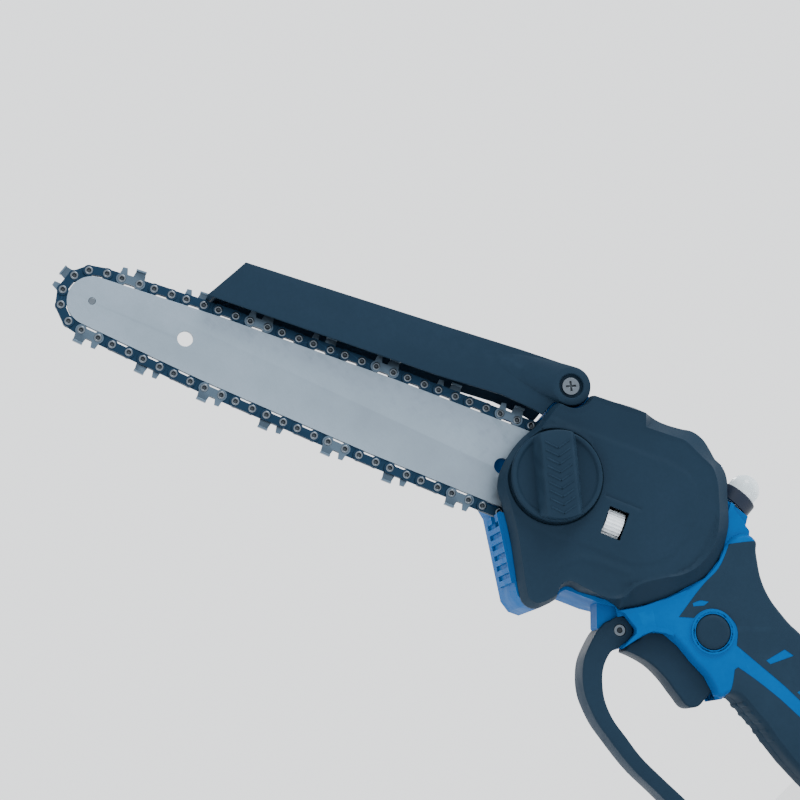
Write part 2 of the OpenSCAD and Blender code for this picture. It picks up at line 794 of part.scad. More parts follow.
module hoop_screws() {
    color(steel) head() {
        difference() {
            union() {
                rod(hoop_bolt, -9.6, 10.8, 1.9);
                rod(hoop_bolt, -10.9, -9.42, 3.3);
            }
            rod(hoop_bolt, -12, -10, 1.6, $fn = 6);
        }
    }
    color(steel) for (y = [-6, 6]) translate([-84, y, 672]) rotate([0, 90, 0]) {
        cylinder(h = 14, r = 1.8);
        cylinder(h = 1.8, r = 3.2);
    }
}

// Dock and adapter

module dock_foot() {
    color(navy) difference() {
        hull() {
            translate([-80, -22, 664.7]) cube([2, 44, 21.3]);
            translate([44, -30, 664.7]) cube([2, 60, 15.3]);
            translate([-28, -30, 664.7]) cube([56, 60, 25.3]);
        }
        translate([-60, -19, 664]) cube([100, 38, 20]);
        for (s = [-1, 1]) translate([-52, s * 29 - 3.2, 668.6]) cube([100, 6.4, 5]);
        translate([-90, -11.1, 678]) cube([14, 22.2, 20]);
        for (y = [-6, 6]) translate([-85, y, 672]) rotate([0, 90, 0])
            cylinder(h = 15.2, r = 1.86);
        head() slab(-half_grip - 1, half_grip + 1) polygon(grip_rim);
    }
}

module pole_adapter() {
    color(blue) difference() {
        union() {
            cylinder_at(598, 646, 17);
            hull() {
                translate([-22, -17, 634]) cube([44, 34, 2]);
                translate([-50, -34, 648]) cube([95, 68, 16.4]);
            }
            for (s = [-1, 1]) translate([-50, s * 32.6 - 1.6, 650]) cube([90, 3.2, 23.5]);
            for (s = [-1, 1]) translate([-50, s * 29.5 - 2.3, 669.1]) cube([90, 4.6, 4.1]);
        }
        cylinder_at(590, 640, inner_d / 2 + 0.02);
        cylinder_at(639, 668, 9);
        translate([35.8, -9.2, 648.4]) cube([12, 18.4, 18]);
    }
}

module cylinder_at(z0, z1, r) {
    translate([0, 0, z0]) cylinder(h = z1 - z0, r = r);
}

module adapter_latch() {
    color(ink) {
        translate([36.5, -9, 654]) cube([10.5, 18, 8]);
        translate([36.5, -9, 661]) cube([3, 18, 8]);
        translate([46, -7, 652.5]) cube([3, 14, 9.5]);
    }
}

// Pole

module tube(z0, z1, d) {
    difference() {
        cylinder_at(z0, z1, d / 2);
        cylinder_at(z0 - 1, z1 + 1, d / 2 - tube_wall);
    }
}

module inner_tube() {
    color(steel) tube(190, 638, inner_d);
}

module middle_tube() {
    color(steel) tube(150, middle_top, middle_d);
}

module outer_tube() {
    color(blue) tube(110, outer_top, outer_d);
}

module tube_clamp(z0, d, bore_low, lip) {
    r = d / 2 + 5;
    difference() {
        union() {
            cylinder_at(z0, z0 + 40, r);
            for (z = [z0 + 4, z0 + 30]) translate([r - 3, -7, z]) cube([12, 14, 6]);
        }
        cylinder_at(z0 - 1, z0 + 41 - lip, bore_low);
        cylinder_at(z0, z0 + 50, bore_low - 1.7);
        translate([r + 4.5, 0, z0]) cylinder(h = 40, r = 2.05);
        translate([-r - 1, -0.8, z0 + 6]) cube([r, 1.6, 35]);
    }
}

module clamp_lever(z0, d) {
    r = d / 2 + 5;
    difference() {
        union() {
            translate([r + 4.5, 0, z0 + 10.3]) cylinder(h = 19.4, r = 4.2);
            translate([r + 1.3, -r + 2, z0 + 10.3]) cube([4.4, r - 2, 19.4]);
            translate([1, -r - 5.5, z0 + 10.3]) cube([r + 4.7, 4.4, 19.4]);
            translate([r + 1.3, -r - 5.5, z0 + 10.3]) cube([4.4, 8.5, 19.4]);
        }
        translate([0, 0, z0]) cylinder(h = 40, r = r + 0.4);
    }
    translate([r + 4.5, 0, z0 + 4]) cylinder(h = 32, r = 2);
}

module upper_clamp() {
    color(navy) tube_clamp(548, middle_d, middle_d / 2 + 0.02, 22);
}

module upper_lever() {
    color(blue) clamp_lever(548, middle_d);
}

module lower_clamp() {
    color(navy) tube_clamp(500, outer_d, outer_d / 2 + 0.02, 19);
}

module lower_lever() {
    color(blue) clamp_lever(500, outer_d);
}

module foam_grip() {
    color(ink) difference() {
        cylinder_at(290, 440, 20.5);
        cylinder_at(280, 450, outer_d / 2 + 0.05);
        for (i = [0:9]) translate([0, 0, 304 + 13.5 * i])
            rotate_extrude() translate([21.5, 0]) circle(2, $fn = 16);
    }
}

module pole_handle() {
    color(navy) difference() {
        union() {
            hull() {
                translate([-54, -36, 60]) cube([106, 72, 20]);
                cylinder_at(96, 98, 26);
            }
            hull() {
                cylinder_at(97, 100, 26);
                cylinder_at(205, 215, 20.5);
            }
            hull() {
                translate([-32, -7, 106]) cube([14, 14, 3]);
                translate([-24, -7, 122]) cube([6, 14, 2]);
            }
        }
        cylinder_at(109.5, 220, outer_d / 2 + 0.02);
        cylinder_at(72, 112, 11);
        translate([-48.5, -20.6, 55]) cube([120, 41.2, 8]);
        translate([-48.5, -27.6, 60.4]) cube([120, 55.2, 7.6]);
        translate([38, -8.6, 67]) cube([6.2, 17.2, 6]);
        translate([-40, -6.4, 124]) cube([23.6, 12.8, 60]);
        translate([-21, -8, 176]) rotate([-90, 0, 0]) cylinder(h = 16, r = 1.78);
    }
}

module pole_trigger() {
    color(blue) {
        slab(-6, 6) polygon([[-18.4, 182], [-23, 182], [-28, 172], [-32, 146], [-30, 128],
            [-23, 128], [-19.6, 150]]);
        translate([-21, -7.8, 176]) rotate([-90, 0, 0]) cylinder(h = 15.6, r = 1.7);
    }
}

module coiled_lead() {
    section = [[8.4, -28], [8.4, 28], [6.5, 38], [4.6, 28], [4.6, -28], [6.5, -38]];
    color(ink) translate([0, 0, 196])
        linear_extrude(height = 400, twist = -360 * 18, slices = 18 * 12, $fn = 6)
            polygon([for (p = section) p[0] * [cos(p[1]), sin(p[1])]]);
}

// Battery

module battery_pack() {
    color(navy) difference() {
        union() {
            hull() {
                translate([-pack_l / 2 + 3, -pack_w / 2 + 3, 0]) cube([pack_l - 6, pack_w - 6, pack_h]);
                translate([-pack_l / 2, -pack_w / 2, 4]) cube([pack_l, pack_w, pack_h - 8]);
            }
            translate([-47.5, -20, pack_h - 1]) cube([96, 40, 9]);
            translate([-47.5, -27, 61]) cube([96, 54, 6.4]);
        }
        translate([37.8, -8.4, 40.5]) cube([30, 16.8, 17]);
        translate([37.8, -8.4, 50]) cube([6.4, 16.8, 20]);
        for (y = [-14, 0, 14]) translate([-48, y - 1.5, 62]) cube([16, 3, 6]);
    }
}

module battery_latch() {
    color(blue) {
        translate([38.5, -8, 47]) cube([20, 16, 9.5]);
        translate([38.5, -8, 55]) cube([5, 16, 15.5]);
    }
}

bar_side_plates();
bar_core();
nose_rivet();
nose_sprocket();
chain_drive_links();
chain_tie_straps();
chain_cutters_left();
chain_cutters_right();
chain_rivets();
side_cover();
clamp_knob();
knob_insert();
bar_stud();
tension_wheel();
tension_screw();
tension_nut();
sprocket_shaft();
drive_sprocket();
sprocket_clip();
driven_gear();
shaft_bearings();
gear_plate();
motor_can();
motor_rotor();
controller_board();
oil_tank();
oil_line();
oil_cap();
oil_bulb();
bulb_collar();
chain_guard();
guard_screw();
trigger();
trigger_spring();
trigger_switch();
lock_button();
lock_spring();
hand_guard();
hoop_screws();
housing_screws();
housing_left();
housing_right();
overmold_left();
overmold_right();
dock_foot();
pole_adapter();
adapter_latch();
inner_tube();
upper_clamp();
upper_lever();
middle_tube();
lower_clamp();
lower_lever();
outer_tube();
foam_grip();
pole_handle();
pole_trigger();
coiled_lead();
battery_pack();
battery_latch();
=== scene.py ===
import bpy
import bmesh
import json
import math
import numpy as np
from mathutils import Matrix, Vector
from mathutils.geometry import delaunay_2d_cdt


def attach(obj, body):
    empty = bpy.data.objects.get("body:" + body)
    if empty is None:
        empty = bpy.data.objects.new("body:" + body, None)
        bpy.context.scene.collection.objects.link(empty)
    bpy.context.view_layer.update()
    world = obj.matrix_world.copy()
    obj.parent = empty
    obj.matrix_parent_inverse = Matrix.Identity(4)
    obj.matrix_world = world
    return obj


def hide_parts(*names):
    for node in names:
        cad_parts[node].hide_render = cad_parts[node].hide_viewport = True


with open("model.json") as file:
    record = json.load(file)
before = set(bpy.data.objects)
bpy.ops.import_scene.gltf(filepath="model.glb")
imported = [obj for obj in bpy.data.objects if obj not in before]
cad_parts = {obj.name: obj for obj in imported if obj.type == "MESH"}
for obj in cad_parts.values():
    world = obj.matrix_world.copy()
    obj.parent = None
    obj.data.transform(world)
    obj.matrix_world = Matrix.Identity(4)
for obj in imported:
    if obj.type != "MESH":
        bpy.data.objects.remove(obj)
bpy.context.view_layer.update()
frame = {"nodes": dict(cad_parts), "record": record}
nodes = frame["nodes"]

# Head frame in millimetres (x back along the bar, y across the tool, z up from the bar) to metres
TURN = math.radians(63.7)
HEAD = (Matrix.Translation((-0.0195, 0, 0.940)) @ Matrix.Rotation(TURN, 4, "Y")
        @ Matrix.Diagonal((0.001, 0.001, 0.001, 1)))
BODY = {n: b for b, names in frame["record"]["behaviour"]["bodies"].items() for n in names}
SLOT = {s["node"]: s["material_slot"] for s in frame["record"]["subparts"]}
MM = 0.001
FLAT = math.radians(1)
done = set()


# ---------- materials ----------

class Nodes:
    """Short calls for building one procedural material in object coordinates."""

    def __init__(self, name):
        self.m = bpy.data.materials.new(name)
        self.m.use_nodes = True
        self.t = self.m.node_tree
        self.b = self.t.nodes["Principled BSDF"]
        self.co = self.t.nodes.new("ShaderNodeTexCoord").outputs["Object"]

    def new(self, kind, **values):
        n = self.t.nodes.new(kind)
        for k, v in values.items():
            setattr(n, k, v)
        return n

    def link(self, a, b):
        self.t.links.new(a, b)

    def space(self, scale=(1, 1, 1), turn=0.0):
        n = self.new("ShaderNodeMapping")
        n.inputs["Scale"].default_value = scale
        n.inputs["Rotation"].default_value = (0, turn, 0)
        self.link(self.co, n.inputs["Vector"])
        return n.outputs["Vector"]

    def noise(self, scale, detail=4.0, rough=0.55, at=None, distort=0.0):
        n = self.new("ShaderNodeTexNoise")
        n.inputs["Scale"].default_value = scale
        n.inputs["Detail"].default_value = detail
        n.inputs["Roughness"].default_value = rough
        n.inputs["Distortion"].default_value = distort
        self.link(at or self.co, n.inputs["Vector"])
        return n.outputs["Fac"]

    def ramp(self, fac, low, high, a=0.0, b=1.0):
        """low..high stretched to a..b, clamped."""
        n = self.new("ShaderNodeMapRange")
        n.inputs["From Min"].default_value = low
        n.inputs["From Max"].default_value = high
        n.inputs["To Min"].default_value = a
        n.inputs["To Max"].default_value = b
        self.link(fac, n.inputs["Value"])
        return n.outputs["Result"]

    def mix(self, fac, a, b):
        n = self.new("ShaderNodeMix", data_type="RGBA")
        for socket, v in ((n.inputs[0], fac), (n.inputs[6], a), (n.inputs[7], b)):
            if isinstance(v, (int, float)):
                socket.default_value = v
            elif isinstance(v, (tuple, list)):
                socket.default_value = (*v[:3], 1)
            else:
                self.link(v, socket)
        return n.outputs[2]

    def math(self, op, a, b=0.0):
        n = self.new("ShaderNodeMath", operation=op)
        for socket, v in ((n.inputs[0], a), (n.inputs[1], b)):
            if isinstance(v, (int, float)):
                socket.default_value = v
            else:
                self.link(v, socket)
        return n.outputs[0]

    def bump(self, height, distance, strength=1.0, after=None):
        n = self.new("ShaderNodeBump")
        n.inputs["Strength"].default_value = strength
        n.inputs["Distance"].default_value = distance
        self.link(height, n.inputs["Height"])
        if after is not None:
            self.link(after, n.inputs["Normal"])
        return n.outputs["Normal"]

    def worn(self, base, worn, amount):
        """Convex edges rubbed lighter in patches."""
        edge = self.ramp(self.new("ShaderNodeNewGeometry").outputs["Pointiness"], 0.52, 0.60)
        patch = self.ramp(self.noise(140, 5), 0.35, 0.7)
        return self.mix(self.math("MULTIPLY", self.math("MULTIPLY", edge, patch), amount), base, worn)

    def done(self, color, rough, normal=None, **fixed):
        for key, v in (("Base Color", color), ("Roughness", rough), ("Normal", normal)):
            if v is None:
                continue
            if isinstance(v, (int, float)):
                self.b.inputs[key].default_value = v
            elif isinstance(v, tuple):
                self.b.inputs[key].default_value = (*v[:3], 1)
            else:
                self.link(v, self.b.inputs[key])
        for key, v in fixed.items():
            self.b.inputs[key.replace("_", " ")].default_value = v
        return self.m


def hexc(text):
    """Linear colour of a six-digit hex code."""
    v = [int(text[i:i + 2], 16) / 255 for i in (0, 2, 4)]
    return tuple(c / 12.92 if c <= 0.04045 else ((c + 0.055) / 1.055) ** 2.4 for c in v)


def shade(c, k):
    return tuple(min(1, x * k) for x in c)


def moulded(name, color, rough, grain=0.00003, edge=None, coat=0.0, scale=1600.0, shine=0.22):
    """Textured plastic, rubber or foam; grain is the depth of its texture in metres."""
    n = Nodes(name)
    broad = n.ramp(n.noise(14, 5), 0.3, 0.7)
    fine = n.ramp(n.noise(420, 3), 0.35, 0.65)
    base = n.mix(broad, shade(color, 0.90), shade(color, 1.10))
    base = n.mix(n.math("MULTIPLY", fine, 0.25), base, shade(color, 0.82))
    base = n.worn(base, edge or shade(color, 1.9), amount=0.16)
    smudge = n.ramp(n.noise(38, 6, 0.6), 0.42, 0.7)
    r = n.ramp(smudge, 0, 1, rough - 0.06, rough + 0.12)
    grained = n.bump(n.noise(scale, 2), grain, 0.6)
    waved = n.bump(n.noise(60, 3), 0.00012, 0.25, grained)
    return n.done(base, r, waved, Coat_Weight=coat, Coat_Roughness=0.3, Specular_IOR_Level=shine)


def metal(name, color, rough, brush_turn=0.0, stain=None, scratch=0.5):
    """Brushed metal with painted shade darkening its corners and a painted highlight brightening its
    edges.
    """
    n = Nodes(name)
    broad = n.ramp(n.noise(26, 5), 0.3, 0.7)
    base = n.mix(broad, shade(color, 0.86), shade(color, 1.08))
    if stain:
        base = n.mix(n.ramp(n.noise(60, 7, 0.7, distort=0.6), 0.58, 0.78, 0, 0.55), base, stain)
    point = n.new("ShaderNodeNewGeometry").outputs["Pointiness"]
    # painted shade: concave corners, recesses and rivet dimples darkened nearly to black
    base = n.mix(n.ramp(point, 0.42, 0.495), shade(color, 0.12), base)
    # painted highlight: convex edges and rivet rings brightened
    base = n.mix(n.ramp(point, 0.515, 0.58, 0, 0.6), base, shade(color, 2.2))
    lines = n.noise(1.0, 3, 0.6, n.space((4200, 4200, 90), brush_turn))
    r = n.ramp(lines, 0.3, 0.7, rough - 0.07, rough + 0.10)
    spots = n.ramp(n.noise(210, 6), 0.45, 0.72, 0, 0.16)
    r = n.math("ADD", r, spots)
    normal = n.bump(lines, 0.00002, scratch)
    normal = n.bump(n.noise(90, 4), 0.00015, 0.2, normal)
    return n.done(base, r, normal, Metallic=1.0)


BLUE = hexc("044a84")
NAVY = hexc("182836")
INK = hexc("0a1728")


def clear_material():
    """Slightly cloudy clear plastic."""
    n = Nodes("clear_plastic")
    cloud = n.ramp(n.noise(120, 4), 0.3, 0.7)
    base = n.mix(cloud, hexc("c3d0d6"), hexc("e2ecf0"))
    r = n.ramp(n.noise(220, 4), 0.3, 0.7, 0.14, 0.30)
    return n.done(base, r, n.bump(n.noise(160, 3), 0.0002, 0.3), Transmission_Weight=0.25,
                  IOR=1.42, Specular_IOR_Level=0.5)


M = {
    "blue_plastic": moulded("blue_plastic", BLUE, 0.46, 0.00002, shine=0.02, edge=hexc("1f6cab")),
    "navy_plastic": moulded("navy_plastic", NAVY, 0.52, 0.00006, shine=0.04, edge=hexc("33485a")),
    "black_plastic": moulded("black_plastic", INK, 0.42),
    "rubber": moulded("rubber", hexc("1b2b39"), 0.72, 0.00010, scale=1100.0, shine=0.03),
    "foam": moulded("foam", hexc("0e1013"), 0.88, 0.00035, scale=700.0, shine=0.12),
    "bar_steel": metal("bar_steel", hexc("74818d"), 0.42, -TURN, hexc("6f7b86"), 0.3),
    "chain_steel": metal("chain_steel", hexc("182a3b"), 0.38, 0.3, hexc("0c1218")),
    "cutter_steel": metal("cutter_steel", hexc("44525f"), 0.34, 0.9, hexc("252c33")),
    "machined_steel": metal("machined_steel", hexc("50575e"), 0.30, 0.2, hexc("484e54")),
    "black_oxide": metal("black_oxide", hexc("23262b"), 0.40, 0.1),
    "brass": metal("brass", hexc("b48a3c"), 0.30, 0.1),
    "aluminium_tube": metal("aluminium_tube", hexc("878e95"), 0.36, 0.0),
    "painted_tube": moulded("painted_tube", BLUE, 0.34, 0.00003, coat=0.15),
    "white_plastic": moulded("white_plastic", hexc("d5dde4"), 0.42, 0.00003),
    "tank_plastic": moulded("tank_plastic", hexc("cfc6a6"), 0.40),
    "cable": moulded("cable", hexc("0b0c0d"), 0.55),
    "board": moulded("board", hexc("124a2c"), 0.45),
    "clear_plastic": clear_material(),
}


# ---------- mesh helpers ----------

def add_object(name, data):
    obj = bpy.data.objects.new(name, data)
    bpy.context.scene.collection.objects.link(obj)
    return obj


def finish_mesh(obj, slot, smooth_angle=35):
    """Give obj its material and smooth shading up to smooth_angle degrees."""
    me = obj.data
    me.materials.clear()
    me.materials.append(M[slot])
    bm = bmesh.new()
    bm.from_mesh(me)
    for e in bm.edges:
        if len(e.link_faces) == 2:
            e.smooth = e.calc_face_angle(0) < math.radians(smooth_angle)
    for f in bm.faces:
        f.smooth = True
    bm.to_mesh(me)
    bm.free()
    return obj


def round_edges(obj, width, segments, angle, **more):
    """Bevel of width millimetres on edges sharper than angle degrees."""
    b = obj.modifiers.new("edges", "BEVEL")
    b.width, b.segments = width * MM, segments
    b.limit_method, b.angle_limit = "ANGLE", math.radians(angle)
    b.use_clamp_overlap = True
    for key, value in more.items():
        setattr(b, key, value)


def declare(obj, node):
    """Ride the piece on its body's empty, hide the CAD node it stands for and count that node done."""
    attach(obj, BODY[node])
    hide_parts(node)
    done.add(node)


def clean_copy(node, weld_only=False):
    """Mesh of a CAD node with its vertices welded and its flat faces joined."""
    me = nodes[node].data.copy()
    bm = bmesh.new()
    bm.from_mesh(me)
    bmesh.ops.remove_doubles(bm, verts=bm.verts, dist=1e-6)
    if not weld_only:
        bmesh.ops.dissolve_limit(bm, angle_limit=FLAT, verts=bm.verts, edges=bm.edges)
    bm.to_mesh(me)
    bm.free()
    if me.has_custom_normals:
        me.attributes.remove(me.attributes["custom_normal"])
    return me


def polish(node):
    """A clean copy of a CAD node with rounded edges."""
    obj = add_object("p_" + node, clean_copy(node))
    obj.matrix_world = nodes[node].matrix_world
    finish_mesh(obj, SLOT[node])
    round_edges(obj, 0.5, 2, 32, harden_normals=True, miter_outer="MITER_ARC")
    declare(obj, node)


# ---------- shapes drawn in head millimetres ----------

def smooth(points, steps=4, corner=50):
    """A closed outline curved through its points; sharp turns stay corners."""
    p = [Vector(q) for q in points]
    n = len(p)
    heading = []
    for i in range(n):
        a, b = p[i] - p[i - 1], p[(i + 1) % n] - p[i]
        sharp = math.degrees(a.angle(b)) > corner
        bend = a.normalized() * b.length + b.normalized() * a.length
        heading.append(None if sharp else bend.normalized())
    out = []
    for i in range(n):
        a, b = p[i], p[(i + 1) % n]
        d = b - a
        ta = (heading[i] or d.normalized()) * d.length
        tb = (heading[(i + 1) % n] or d.normalized()) * d.length
        for k in range(steps):
            t = k / steps
            out.append((2 * t**3 - 3 * t**2 + 1) * a + (t**3 - 2 * t**2 + t) * ta
                       + (3 * t**2 - 2 * t**3) * b + (t**3 - t**2) * tb)
    return out


def inset(points, d):
    """The outline moved inward by d along its own normals."""
    p = [Vector(q) for q in points]
    n = len(p)
    area = sum(p[i - 1].x * p[i].y - p[i].x * p[i - 1].y for i in range(n))
    side = 1 if area > 0 else -1
    out = []
    for i in range(n):
        a = (p[i] - p[i - 1]).normalized()
        b = (p[(i + 1) % n] - p[i]).normalized()
        m = Vector((-(a.y + b.y), a.x + b.x)) * side
        if m.length < 1e-6:
            out.append(p[i])
            continue
        m.normalize()
        half = max(0.55, m.dot(Vector((-a.y, a.x)) * side))
        out.append(p[i] + m * (d / half))
    return out


def circle(at, r, n=48):
    """Outline of a circle."""
    return [Vector((at[0] + r * math.cos(2 * math.pi * i / n), at[1] + r * math.sin(2 * math.pi * i / n)))
            for i in range(n)]


def loft(bm, rings, ends=(True, True)):
    """Skin outlines of equal length; each ring is (points, y)."""
    rows = [[bm.verts.new((q[0], y, q[1])) for q in pts] for pts, y in rings]
    n = len(rows[0])
    faces = []
    for lo, hi in zip(rows, rows[1:]):
        for i in range(n):
            j = (i + 1) % n
            faces.append(bm.faces.new((lo[i], lo[j], hi[j], hi[i])))
    if ends[0]:
        faces.append(bm.faces.new(rows[0][::-1]))
    if ends[1]:
        faces.append(bm.faces.new(rows[-1]))
    return rows


def prism(bm, points, y0, y1, edge=0.0, rounds=4):
    """A slab across the tool with its two rims rounded by edge."""
    if not edge:
        return loft(bm, [(points, y0), (points, y1)])
    rings = []
    for k in range(rounds + 1):
        a = math.pi / 2 * k / rounds
        rings.append((inset(points, edge * (1 - math.sin(a))), y0 + edge * (1 - math.cos(a))))
    return loft(bm, rings + [(pts, y0 + y1 - y) for pts, y in reversed(rings)])


def lathe(bm, at, profile, n=96):
    """Revolve (radius, y) pairs about an axis across the tool."""
    return loft(bm, [(circle(at, r, n), y) for r, y in profile])


def from_head(bm, name):
    """Object of a bmesh drawn in the head frame."""
    bmesh.ops.recalc_face_normals(bm, faces=bm.faces)
    me = bpy.data.meshes.new(name)
    bm.to_mesh(me)
    bm.free()
    me.transform(HEAD)
    return add_object(name, me)


def drawn(draw, name, slot, smooth_angle=35):
    """Finished object drawn by a function of a bmesh."""
    bm = bmesh.new()
    draw(bm)
    return finish_mesh(from_head(bm, name), slot, smooth_angle)


def solid(draw):
    """A throw-away object for cutting, drawn by a function of a bmesh."""
    bm = bmesh.new()
    draw(bm)
    return from_head(bm, "cutter")


def carve(obj, tool, operation="DIFFERENCE"):
    """Boolean the tool into obj's mesh and remove the tool."""
    mod = obj.modifiers.new("carve", "BOOLEAN")
    mod.operation = operation
    mod.solver = "EXACT"
    mod.object = tool
    graph = bpy.context.evaluated_depsgraph_get()
    graph.update()
    mesh = bpy.data.meshes.new_from_object(obj.evaluated_get(graph))
    obj.modifiers.remove(mod)
    old = obj.data
    obj.data = mesh
    bpy.data.meshes.remove(old)
    bpy.data.objects.remove(tool)
    return obj


def merge(obj, other):
    """Add other's mesh to obj's and drop other."""
    bm = bmesh.new()
    bm.from_mesh(obj.data)
    bm.from_mesh(other.data)
    bm.to_mesh(obj.data)
    bm.free()
    bpy.data.objects.remove(other)


def weld(obj, slot, smooth_angle=35):
    """Join the loose points of a carved mesh and shade it again."""
    bm = bmesh.new()
    bm.from_mesh(obj.data)
    bmesh.ops.remove_doubles(bm, verts=bm.verts, dist=2e-6)
    bmesh.ops.dissolve_degenerate(bm, edges=bm.edges, dist=1e-6)
    bm.to_mesh(obj.data)
    bm.free()
    return finish_mesh(obj, slot, smooth_angle)


def near(points, line):
    """Distance of each of the points (array) to an open polyline."""
    best = np.full(len(points), 1e9)
    for a, b in zip(line, line[1:]):
        a, b = np.array(a, float), np.array(b, float)
        d = b - a
        t = np.clip(((points - a) @ d) / max(d @ d, 1e-9), 0, 1)
        best = np.minimum(best, np.linalg.norm(points - (a + t[:, None] * d), axis=1))
    return best


def inside(points, poly):
    """Which of the points (array) lie inside a closed outline."""
    hit = np.zeros(len(points), bool)
    for (x0, z0), (x1, z1) in zip(poly, poly[1:] + poly[:1]):
        if z0 == z1:
            continue
        cross = (points[:, 1] > min(z0, z1)) & (points[:, 1] <= max(z0, z1))
        x = x0 + (points[:, 1] - z0) * (x1 - x0) / (z1 - z0)
        hit ^= cross & (points[:, 0] < x)
    return hit


def ease(v, lo, hi):
    """Smooth step from 0 at lo to 1 at hi."""
    t = np.clip((v - lo) / (hi - lo), 0, 1)
    return t * t * (3 - 2 * t)


# ---------- cover, knob ----------

COVER_RIM = [(5.2, 51.6), (39.2, 54), (44.3, 52.8), (59.3, 53.3), (66.2, 54.4), (73.3, 52.5),
             (79.3, 48.1), (83.4, 44.6), (90.4, 40.7), (93.5, 36.8), (96.6, 28.8), (99.7, 21.8),
             (103.3, 11.9), (104.5, 1.9), (104.1, -8.1), (99.9, -20.2), (92.2, -28.9), (83.4, -38.4),
             (71.1, -48), (60.8, -54.3), (57.6, -52.8), (36.7, -53.2), (28.4, -53.2), (25.8, -56.2),
             (25.3, -62.2), (23.4, -64.7), (18.8, -69.5), (17.2, -70.8), (8.4, -70.1), (5.7, -66.5),
             (-2.3, -52.6), (-11.4, -36.6), (-17.2, -28.3), (-20.4, -23.7), (-25.7, -16.5),
             (-27.6, -8.1), (-26, 4.9), (-23, 14.3), (-17.9, 23.7), (-15, 32.1), (-12, 39.5),
             (-10.4, 41.2), (-6.5, 40.2), (-0.8, 41.6), (3.6, 46.1)]
COVER_TOP = [(6, 50.8), (36.5, 52.5), (39.1, 45), (56, 45.9), (62.3, 46.1), (69, 43.6),
             (75.5, 40.7), (82.2, 37.7), (85, 34.5), (88, 29.9), (90.6, 23.7), (93.3, 17.6),
             (95.6, 10.5), (97.3, 1.3), (96.6, -6.7), (92.8, -16.8), (86.5, -24.4), (76.5, -30.5),
             (64, -40), (58, -49.5), (55.5, -51), (36.7, -51.4), (27.4, -51.2), (24, -55),
             (23.4, -61.6), (21.9, -63.4), (17.9, -67.3), (16.4, -68.4), (9.9, -67.8), (7.9, -65),
             (0.2, -51.3), (-8.9, -35.3), (-14.9, -26.6), (-18.1, -22.2), (-23.2, -15.5),
             (-25.1, -7.7), (-23.6, 4.3), (-20.9, 13.2), (-15.9, 22.5), (-13.1, 31.1), (-10.3, 38.3),
             (-9.3, 39.4), (-6.2, 39.2), (0, 40.6), (4.6, 45.7)]
PAD = [(-60, 30), (63, 31), (71, 29), (77, 24), (80.5, 17), (82, 6), (81.5, -6), (77, -17),
       (69, -25), (58, -30), (40, -30), (-60, -31)]
STEP = [(40, -41), (57, -40), (72, -31), (82, -24), (88, -16), (91, -6), (91.5, 5), (91, 18),
        (86, 31), (80, 60), (-60, 60), (-60, -90), (40, -90)]
RIDGE = [(14, -66), (16, -56), (18, -48), (22, -42), (29, -37), (38, -35.5), (57, -35)]
WINDOW = (35, 46.6, -20, -3.8)
WINDOW_BACK = -21.5
WINDOW_MARK = [(31, 1.0), (52, 0.8)]
COVER_BACK, COVER_SHOULDER, COVER_FACE = -13, -15.2, -24
STUD = (1, 0)
STUD_HOLE = 9
WELL_RINGS = (25.4, 26.0, 26.3, 26.6, 27.0, 27.6, 28.2, 29.2)
GRID = 1.3


def cover_relief(q):
    """Height of the cover's face, inward positive, in millimetres."""
    pad = near(q, PAD + PAD[:1]) * np.where(inside(q, PAD), 1, -1)
    step = near(q, STEP + STEP[:1]) * np.where(inside(q, STEP), 1, -1)
    r = np.hypot(q[:, 0] - STUD[0], q[:, 1] - STUD[1])
    y = 0.5 * (1 - ease(pad, -0.7, 0.9))
    y += 1.1 * (1 - ease(step, -3.0, 0.2)) * (1 - ease(q[:, 1], 2, 26)) * ease(q[:, 0], 50, 62)
    y -= 0.45 * (1 - ease(near(q, RIDGE), 1.0, 2.6))
    y += 1.4 * (1 - ease(r, 26.1, 26.9))
    y -= 0.35 * (1 - ease(np.abs(r - 27.6), 0.4, 1.4)) * (q[:, 0] < 14)
    y += 0.5 * (1 - ease(near(q, WINDOW_MARK), 0.15, 0.8))
    return y


def cover_points(outline, window):
    """Points that carry the relief: a staggered grid, and rings round the knob's well."""
    xs, zs = np.arange(-30, 106, GRID), np.arange(-72, 58, GRID)
    grid = np.array([(x + (0.5 * GRID if k % 2 else 0), z) for k, z in enumerate(zs) for x in xs])
    grid = grid[inside(grid, outline) & (near(grid, outline + outline[:1]) > 0.9)]
    grid = grid[near(grid, window + window[:1]) > 0.5]
    r = np.hypot(grid[:, 0] - STUD[0], grid[:, 1] - STUD[1])
    grid = grid[(r < 25.2) | (r > 29.8)]
    turn = np.linspace(0, 2 * math.pi, 180, endpoint=False)
    rings = np.array([(STUD[0] + r * math.cos(t), STUD[1] + r * math.sin(t)) for t in turn
                      for r in WELL_RINGS])
    rings = rings[inside(rings, outline) & (near(rings, outline + outline[:1]) > 0.5)]
    return np.vstack([grid, rings])


